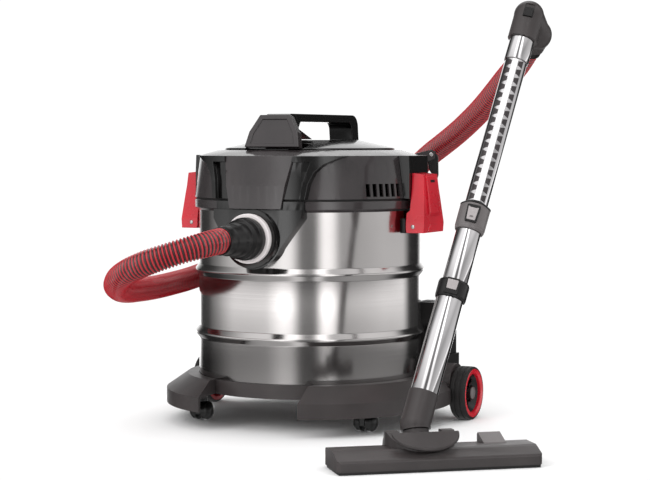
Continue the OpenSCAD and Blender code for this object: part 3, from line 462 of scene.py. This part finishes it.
wheel_y, wheel_z, wheel_in = 88, 40.5, 210
for name, sx in (("left", -1), ("right", 1)):
    hub = rolled(sx * wheel_in, wheel_y, wheel_z, sx)
    tread = [(37.2, 1), (38.5, 0.6), (40.3, 3, 1.5), (40.5, 8.2, 0.4), (39.4, 8.8, 0.3),
             (39.4, 9.8, 0.3), (40.5, 10.4, 0.4), (40.5, 17, 0.4), (39.4, 17.6, 0.3),
             (39.4, 18.6, 0.3), (40.5, 19.2, 0.4), (40.2, 24.5, 2), (38.5, 26.6, 0.8),
             (37.2, 26.4)]
    tyre = put("tyre_%s_rubber" % name, lathe(fillet(tread, 0, 3), hub), rubber,
               "rear_wheel_" + name, "tyre_" + name)
    rim = [(29.5, 20, 0.5), (29.8, 25.4, 0.8), (36.2, 26.9, 1.2), (37.1, 26, 0.4), (37.1, 1.4),
           (31, 1.4, 1), (31, 14, 1), (29.5, 15)]
    rim = put("wheel_%s_rim" % name, lathe(fillet(rim, 0, 3), hub), red_abs,
              "rear_wheel_" + name, "wheel_" + name)
    dish = [(5.1, 6), (5.1, 24, 0.5), (9.6, 24, 1), (10.8, 12, 1.5), (24, 11, 4), (29.4, 22, 1),
            (29.4, 19), (25, 6, 2)]
    bm = lathe(fillet(dish, 0, 3), hub)
    for k in range(6):
        arm = hub @ Matrix.Rotation(radians(60 * k + 12), 4, "Z")
        slab([(-1.7, 10), (1.7, 10), (1.7, 15.5), (-1.7, 15.5)], 25.5, 9, arm, bm)
        slab([(-1.7, 10), (1.7, 10), (1.4, 20), (-1.4, 20)], 14, 9, arm, bm)
    soften(put("wheel_%s_centre" % name, bm, black_nylon, "rear_wheel_" + name), 0.4)
    cap = [(0, 22), (9.3, 22), (9.3, 24.6, 0.6), (6, 26, 2), (0, 26.6)]
    put("wheel_%s_cap" % name, lathe(fillet(cap, 0, 3), hub, 48), mid_grey,
        "rear_wheel_" + name)

# ---- Collar and inlet ----
# A gunmetal collar clips over the drum's rim; a gloss black apron carries the inlet, with a
# white ring round it. The hose cuff turns in the inlet's elbow.
# Both are ABS from polished moulds: dark, with sharp bright reflections.
gloss_grey = plastic("gunmetal_abs_gloss_moulded", "#353031", "#2c2829", 0.2, 1.6, 0.008,
                     Specular_IOR_Level=0.4, Coat_Weight=0.4, Coat_Roughness=0.08)
gloss_black = plastic("gloss_black_abs_polished", "#0b0a0a", "#080707", 0.14, 2.5, 0.004,
                      Specular_IOR_Level=0.45, Coat_Weight=0.25, Coat_Roughness=0.05)
white_abs = plastic("white_abs_moulded", "#efe9e9", "#e4dddd", 0.35, 0.8, 0.015)
eased("collar", gloss_grey, 0.8)
eased("apron", gloss_black, 1.5)
eased("inlet_ring", white_abs, 1.2)
eased("inlet_elbow", black_nylon, 0.4)
eased("hose_cuff", black_nylon, 0.8)

# ---- Tool towers ----
# Two hollow nylon towers at the back of the base, each with a round socket for a spare tool.
eased("tool_towers", black_nylon, 1.5)

# ---- Latches ----
# Red ABS latches hinge on steel pins at the drum's sides and close over the head.
# Each has a raised panel with a finger slot, over a thicker scooped foot.
latch_x, latch_z = 188, 299
eased("latch_brackets", black_nylon, 0.8)
eased("latch_pins", steel, 0.3)


def outward(sx, x, y, z):
    """A place mirrored to either side of the machine, its X pointing outwards."""
    return spot(sx * x, y, z) @ Matrix.Scale(sx, 4, (1, 0, 0))


for name, sx in (("left", -1), ("right", 1)):
    body = name + "_latch"
    where = outward(sx, latch_x, 0, latch_z)
    cover = eased("latch_" + name, red_abs, 2.2)
    panel = [(11, 75.5), (14.6, 74.5), (18.2, 45), (20.6, 20), (17.4, 14.5), (12, 16)]
    tilt = where @ Matrix.Rotation(radians(90), 4, "Z")
    bm = slab([(-x, z) for x, z in panel], -19.5, 19.5, tilt)
    soften(put("latch_%s_panel" % name, bm, red_abs, body), 1.4)
    # A black strip on the panel's face stands for the finger slot: painted shade of the slot's
    # hollow.
    bm = slab([(-7.5, 65), (7.5, 65), (7.5, 69), (-7.5, 69)], 14.2, 15.9, where)
    soften(put("latch_%s_slot" % name, bm, black_nylon, body), 0.3)
    bm = slab([(-24, -7), (24, -7), (15, 3), (-15, 3)], 16.5, 18.6, where)
    soften(put("latch_%s_scoop" % name, bm, red_abs, body), 0.8)
    for end in (-1, 1):
        dot = where @ Matrix.Translation((0, end * 37.6, 0)) \
            @ Matrix.Rotation(radians(-90 * end), 4, "X")
        put("latch_%s_pin_%s" % (name, "front" if end < 0 else "back"),
            lathe([(0, 0), (2.6, 0), (2.6, 0.9), (1.9, 1.3), (0, 1.3)], dot, 24), steel, "chassis")

# ---- Head ----
# The motor's cover: a gunmetal shell with vent slots, a gloss black frame and flat side faces
# moulded on, and a window panel and a domed top plate clipped in.
eased("head_shell", gloss_grey, 0.6)
eased("front_frame", gloss_black, 1.0)
eased("window_panel", gloss_grey, 1.0)
eased("latch_towers", gloss_black, 1.5)
eased("top_plate", gloss_black, 1.2)

# ---- Handle ----
# A gloss black carrying handle, screwed on from inside, with a plain plate over its front foot.
eased("handle", gloss_black, 2.5)
eased("handle_plate", gloss_grey, 1.5)

# ---- Switch, blower port and gland ----
# A red rocker on the top plate; at the back the blower's outlet and the cord's rubber gland.
eased("power_switch", red_abs, 0.8)
eased("blower_port", black_nylon, 0.8)
eased("cord_gland", rubber, 0.5)

# ---- Cord hook ----
# A black loop that hangs from a steel pin between two ears at the head's back right.
hook_x, hook_z, hook_way = 185, 405, radians(26)
hook = spot(hook_x * cos(hook_way), hook_x * sin(hook_way), hook_z,
            Matrix.Rotation(hook_way - pi / 2, 3, "Z"))
loop = [(-6, 4), (0, 7.5), (7, 4), (11.5, -4), (12, -31), (9, -43), (4.5, -42), (3, -33),
        (-3, -22), (-6, -4)]
soften(put("cord_hook_loop", slab(fillet(loop, 2, 3), -6, 6, hook), gloss_black, "hook",
           "cord_hook"), 1.2)
well = fillet([(1, -8), (8, -8), (8.5, -30), (5, -31), (0, -21)], 1.5, 3)
put("cord_hook_well", slab(well, 5.6, 6.25, hook), black_nylon, "hook")
pin_end = hook @ Matrix.Rotation(radians(90), 4, "Y")
put("cord_hook_pin", lathe([(0, 0), (3, 0), (3, 13.4), (2.2, 14), (0, 14)], pin_end, 24), steel,
    "hook")

# ---- Motor and filter ----
# Hidden in the closed machine: the deck with its seal and motor, and the pleated cartridge
# over its cage and float. They keep the frame's own meshes, in their real materials.
for node, material in (("motor_deck", black_nylon), ("gasket", rubber),
                       ("motor_housing", mid_grey), ("motor_stator", steel),
                       ("bearings", steel), ("armature", steel), ("impeller", steel),
                       ("filter_cage", black_nylon), ("cartridge_filter", white_abs),
                       ("filter_cap", red_abs), ("float", white_abs), ("head_screws", steel)):
    frame["nodes"][node].data.materials.clear()
    frame["nodes"][node].data.materials.append(material)

# ---- Wand tubes ----
# Chromed steel, drawn and welded. The upper tube slides in the middle one and has a bright
# track with a row of pressed recesses each side, which the length lock drops into.
# Bright chrome mirrors the room almost sharply.
chrome, tree, shader = surface("chromed_steel_tube", 0.07, 1.0)
here = mottle(tree, shader, "#c4c2c3", "#b6b4b5", 90)
grain(tree, shader, here, 0.5, 0.001, 0.05, 0.1)

wand_turned = Matrix.Rotation(radians(78.5), 3, "Z") @ Matrix.Rotation(radians(27), 3, "Y") \
    @ Matrix.Rotation(radians(-150), 3, "Z")
wand_foot = spot(307, -304, 50, wand_turned)
tube_r, tube_wall = 16, 0.9
stations = {"neck_end": 33, "lower_end": 183, "middle_start": 201, "collar_start": 281,
            "collar_end": 321, "upper_start": 271, "sleeve_start": 546, "sleeve_end": 607}


def on_wand(station):
    """A place on the wand: height along it, X towards the side with the buttons."""
    return wand_foot @ Matrix.Translation((0, 0, station))


def tube(radius, start, end, wall=tube_wall, bm=None):
    """A plain tube on the wand, its ends slightly rounded."""
    length = end - start
    outline = fillet([(radius - wall, 0), (radius, 0), (radius, length), (radius - wall, length)],
                     0.25, 2)
    return lathe(outline, on_wand(start), 72, bm)


bm = tube(tube_r, stations["upper_start"], stations["sleeve_end"])
tube(tube_r + 1.5, stations["sleeve_start"], stations["sleeve_end"], 1.4, bm)
track_half, track_top = 3.8, tube_r + 0.1
upper = put("upper_tube_chrome", bm, chrome, "wand_upper", "upper_tube")
soften(upper, 0.25)

bright_strip, strip_tree, shader = surface("bright_brushed_steel", 0.4, 0.75)
here = mottle(strip_tree, shader, "#f6f4f4", "#eae8e8", 40)
grain(strip_tree, shader, here, 0.5, 0.002, 0.32, 0.45)
bm = slab([(-track_half, 0), (track_half, 0), (track_half, 224), (-track_half, 224)],
          tube_r - 0.8, track_top, on_wand(stations["collar_end"]))
soften(put("upper_tube_track", bm, bright_strip, "wand_upper"), 0.2)

tree, entry = new_tree("row_of_recesses", Count=17, Pitch=0.0127)
step = add(tree, "ShaderNodeCombineXYZ", (), {"Z": entry.outputs["Pitch"]})
row_line = add(tree, "GeometryNodeMeshLine", (),
               {"Count": entry.outputs["Count"], "Offset": step.outputs[0]})
many = add(tree, "GeometryNodeInstanceOnPoints", (),
           {"Points": row_line.outputs[0], "Instance": entry.outputs["Geometry"]})
end_tree(tree, entry, many.outputs[0])

pressed_steel, steel_tree, shader = surface("pressed_steel_shadowed", 0.45, 0.8)
here = mottle(steel_tree, shader, "#4c4849", "#403c3d", 20)
grain(steel_tree, shader, here, 0.5, 0.003, 0.38, 0.5)
notch_pitch = 13.1
bm = bmesh.new()
for side in (-1, 1):
    grid = []
    for k in range(7):
        a = radians(17 + 27 * k / 6)
        reach = 0.24 + 0.19 * k / 6
        grid.append([[bm.verts.new((r * cos(a) / 1000, side * r * sin(a) / 1000,
                                    (0.5 + end * reach) * notch_pitch / 1000))
                      for end in (-1, 1)] for r in (tube_r - 0.4, tube_r + 0.12)])
    for one, two in zip(grid, grid[1:]):
        for j in (0, 1):
            bm.faces.new((one[j][0], one[j][1], two[j][1], two[j][0]))
        for j in (0, 1):
            bm.faces.new((one[0][j], one[1][j], two[1][j], two[0][j]))
    for end in (grid[0], grid[-1]):
        bm.faces.new((end[0][0], end[0][1], end[1][1], end[1][0]))
recess = put("recess", bm, pressed_steel)
recess = grow("upper_tube_recesses", recess, tree, {"Count": 17, "Pitch": notch_pitch / 1000},
              pressed_steel)
unscaled = Matrix.Scale(1000, 4)
recess.data.transform(on_wand(stations["collar_end"] + 1.5) @ unscaled)
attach(recess, "wand_upper")

middle = put("middle_tube_chrome", tube(17.5, stations["middle_start"] - 2,
                                        stations["collar_start"] + 8),
             chrome, "wand_lower", "middle_tube")
lower = put("lower_tube_chrome", tube(19, stations["neck_end"], stations["lower_end"] + 1),
            chrome, "wand_lower", "lower_tube")

# ---- Wand collars ----
# The length lock is grey ABS with a black lip and a pale button; the coupling that joins the
# lower tube is a black nylon ring with a pale release slide.
light_grey = plastic("light_grey_abs_moulded", "#a8a2a2", "#9b9595", 0.38, 0.8, 0.015)
collar = on_wand(stations["collar_start"])
outline = fillet([(17.6, 0), (19.6, 0, 1), (20.6, 3, 0.6), (20.7, 5, 0.4), (21.1, 6, 0.4),
                  (21.3, 37.5, 1.5), (16.7, 37.5)], 0.3, 3)
bm = lathe(outline, collar, 72)
soften(put("collar_lock_body", bm, mid_grey, "wand_lower", "collar_lock"), 0.3)
lip = bmesh.new()
lathe(fillet([(16.7, 36.6), (21.6, 36.6), (21.7, 38.6), (20.4, 39.9), (16.7, 39.9)], 0.5, 3),
      collar, 72, lip)
for vert in lip.verts:
    local = collar.inverted() @ vert.co
    vert.co = collar @ (local + Vector((0, 0, 1.3 * cos(3 * atan2(local.y, local.x)))))
put("collar_lock_lip", lip, black_nylon, "wand_lower")
# A raised black frame round the button stands for its recess: painted shade of the recess.
frame_line = fillet([(-9.5, 33), (-8.2, 7.5), (8.2, 7.5), (9.5, 33)], 2, 4)
bm = slab(frame_line, 17, 23.6, collar)
soften(put("collar_lock_recess_painted_shade", bm, black_nylon, "wand_lower"), 0.7)
button = fillet([(-7.2, 29.5, 0.8), (-4, 28, 3), (4, 28, 3), (7.2, 29.5, 0.8), (5.9, 10, 1),
                 (-5.9, 10, 1)], 1, 4)
bm = slab(button, 20, 25.2, collar)
soften(put("collar_button_face", bm, light_grey, "length_button", "collar_button"), 0.6)
bm = slab(fillet([(-3, 13.5), (3, 13.5), (1.8, 16), (-1.8, 16)], 0.7, 3), 25, 25.5, collar)
put("collar_button_mark", bm, mid_grey, "length_button")

joint = on_wand(stations["lower_end"])
outline = fillet([(19.1, -3), (20.8, -3, 0.6), (21.4, 0, 0.6), (21.6, 19, 1), (20.6, 22, 0.8),
                  (17.6, 22)], 0.3, 3)
bm = lathe(outline, joint, 72)
slab(fillet([(-9.5, -1), (9.5, -1), (9, 21.5), (-9, 21.5)], 1.5, 3), 17, 23.4, joint, bm)
soften(put("coupling_ring", bm, black_nylon, "wand_lower", "coupling"), 0.5)
bm = slab(fillet([(-6.8, 5), (6.8, 5), (7.4, 18.5), (-7.4, 18.5)], 1, 3), 21.6, 25, joint)
soften(put("coupling_slide", bm, light_grey, "release_button", "coupling_button"), 0.7)

# ---- Grip and hose end ----
# Two satin half shells screwed over the upper tube, with a slider that bleeds off suction;
# the hose's nylon end turns inside.
eased("grip", satin_abs, 0.6)
eased("bleed_slider", black_nylon, 0.6)
eased("hose_end", black_nylon, 0.6)

# ---- Floor nozzle ----
# A satin body on a black sole, with a foot pedal and a tilting neck; the neck's sleeve turns.
# A plain sloped plate, rounded at its front, clips over the body's hump.
eased("neck_sleeve", satin_abs, 0.6)
eased("neck", satin_abs, 0.6)
eased("nozzle_body", satin_abs, 2.0)
eased("nozzle_sole", black_nylon, 0.5)
eased("pedal", mid_grey, 2.0)

nozzle_way = radians(39.6)
plate_at = spot(343.07, -328.77, 0, Matrix.Rotation(nozzle_way - pi / 2, 3, "Z")) \
    @ Matrix.Translation((0, -12, 0))
plate_half, plate_reach, plate_back, plate_front = 46, 30, 47.5, 30.5
bm = bmesh.new()
edges = []
for k in range(25):
    a = radians(180 * k / 24)
    across, out = plate_half * cos(a), 4 + plate_reach * sin(a)
    high = plate_back + (plate_front - plate_back) * sin(a)
    edges.append((out, across, high))
low = [bm.verts.new(plate_at @ Vector((x, y, z - 4))) for x, y, z in edges]
high = [bm.verts.new(plate_at @ Vector((x, y, z))) for x, y, z in edges]
bm.faces.new(high)
bm.faces.new(low[::-1])
for i in range(25):
    j = (i + 1) % 25
    bm.faces.new((low[i], low[j], high[j], high[i]))
soften(put("nozzle_hump_plate", bm, satin_abs, "nozzle"), 1.0)

# ---- Studio ----
# White paper on the floor, and a soft white room whose light on plain surfaces is even.
# Mirrored rays alone see painted reflections: dark flags at the sides and back and bright bands,
# which light nothing else.
bm = bmesh.new()
bmesh.ops.create_circle(bm, cap_ends=True, segments=96, radius=0.5)
paper, tree, shader = surface("white_studio_paper", 0.95, Specular_IOR_Level=0.1)
mottle(tree, shader, "#fcfcfc", "#f9f9f9", 400)
floor = put("floor", bm, paper)
# The paper isn't mirrored, so that the drum's foot and the tubes stay dark near the floor.
floor.visible_glossy = False


def softbox(name, turn, distance, height, width, tall, power):
    """A rectangular area light, aimed at the middle of the machine."""
    light = bpy.data.lights.new(name, "AREA")
    light.shape = "RECTANGLE"
    light.size, light.size_y, light.energy = width / 1000, tall / 1000, power
    lamp = bpy.data.objects.new(name, light)
    bpy.context.scene.collection.objects.link(lamp)
    a = view_turn + radians(turn)
    lamp.location = row(distance * sin(a), -distance * cos(a), height)
    lamp.rotation_euler = (row(0, 0, 250) - lamp.location).to_track_quat("-Z", "Y").to_euler()
    lamp.visible_camera = False
    lamp.visible_glossy = False


softbox("key_light", -45, 2400, 1700, 1300, 1500, 22)
softbox("top_light", 160, 900, 2600, 2200, 2200, 16)

# Painted reflections: brightness of the bands that only mirrored rays see, all round from behind
# the machine, past its left side and the camera to its right side; and from the floor up to the
# ceiling.
painted_reflection_round = [(-180, 1.1), (-163, 1.1), (-150, 0.03), (-128, 0.06), (-108, 0.35), (-85, 0.9),
              (-45, 1.0), (-28, 1.9), (-19, 1.8), (-9, 0.28), (6, 0.24), (14, 2.1), (23, 1.9),
              (31, 0.6), (80, 0.85), (112, 0.85), (124, 0.04), (150, 0.02), (163, 1.1), (180, 1.1)]
painted_reflection_up = [(-0.5, 0.8), (-0.3, 0.6), (-0.17, 0.3), (-0.14, 0.75), (-0.128, 1.6),
           (-0.115, 2.3), (-0.104, 2.4), (-0.094, 2.5), (-0.083, 2.0), (-0.066, 1.5),
           (-0.05, 1.3), (0.35, 0.9), (0.6, 1.6), (1.0, 1.8)]

world = bpy.data.worlds.new("studio")
bpy.context.scene.world = world
world.use_nodes = True
tree = world.node_tree
back = tree.nodes["Background"]
here = add(tree, "ShaderNodeTexCoord")
turned = add(tree, "ShaderNodeMapping", {"Rotation": (0, 0, -view_turn)},
             {"Vector": here.outputs["Generated"]})
parts = add(tree, "ShaderNodeSeparateXYZ", (), {"Vector": turned.outputs["Vector"]})
front = add(tree, "ShaderNodeMath", {1: -1.0}, {0: parts.outputs["Y"]}, operation="MULTIPLY")
angle = add(tree, "ShaderNodeMath", (), {0: parts.outputs["X"], 1: front.outputs[0]},
            operation="ARCTAN2")


def banded(socket, bottom, top, stops):
    """A smooth ramp over a value, from named places and brightnesses."""
    share = add(tree, "ShaderNodeMapRange", {"From Min": bottom, "From Max": top},
                {"Value": socket})
    bands = add(tree, "ShaderNodeValToRGB", (), {"Fac": share.outputs["Result"]})
    while len(bands.color_ramp.elements) < len(stops):
        bands.color_ramp.elements.new(0.5)
    for element, (place, tone) in zip(bands.color_ramp.elements, stops):
        element.position = (place - bottom) / (top - bottom)
        element.color = (tone / 4, tone / 4, tone / 4, 1)
    return bands


around = banded(angle.outputs[0], -pi, pi, [(radians(a), tone) for a, tone in painted_reflection_round])
upward = banded(parts.outputs["Z"], -0.5, 1.0, painted_reflection_up)
both = add(tree, "ShaderNodeMix", {"Factor": 1.0}, data_type="RGBA", blend_type="MULTIPLY")
tree.links.new(around.outputs["Color"], both.inputs["A"])
tree.links.new(upward.outputs["Color"], both.inputs["B"])

# Painted reflections: mirrored rays see the bands, sixteen times brighter; all other rays see an
# even white.
seen = add(tree, "ShaderNodeLightPath")
bright = add(tree, "ShaderNodeMath", {1: 15.0}, {0: seen.outputs["Is Glossy Ray"]},
             operation="MULTIPLY_ADD")
bright.inputs[2].default_value = 1.0
mixed = add(tree, "ShaderNodeMix", data_type="RGBA")
tree.links.new(seen.outputs["Is Glossy Ray"], mixed.inputs["Factor"])
mixed.inputs["A"].default_value = (1.05, 1.05, 1.05, 1)
tree.links.new(both.outputs["Result"], mixed.inputs["B"])
tree.links.new(mixed.outputs["Result"], back.inputs["Color"])
tree.links.new(bright.outputs[0], back.inputs["Strength"])
bpy.context.scene.view_settings.view_transform = "Standard"
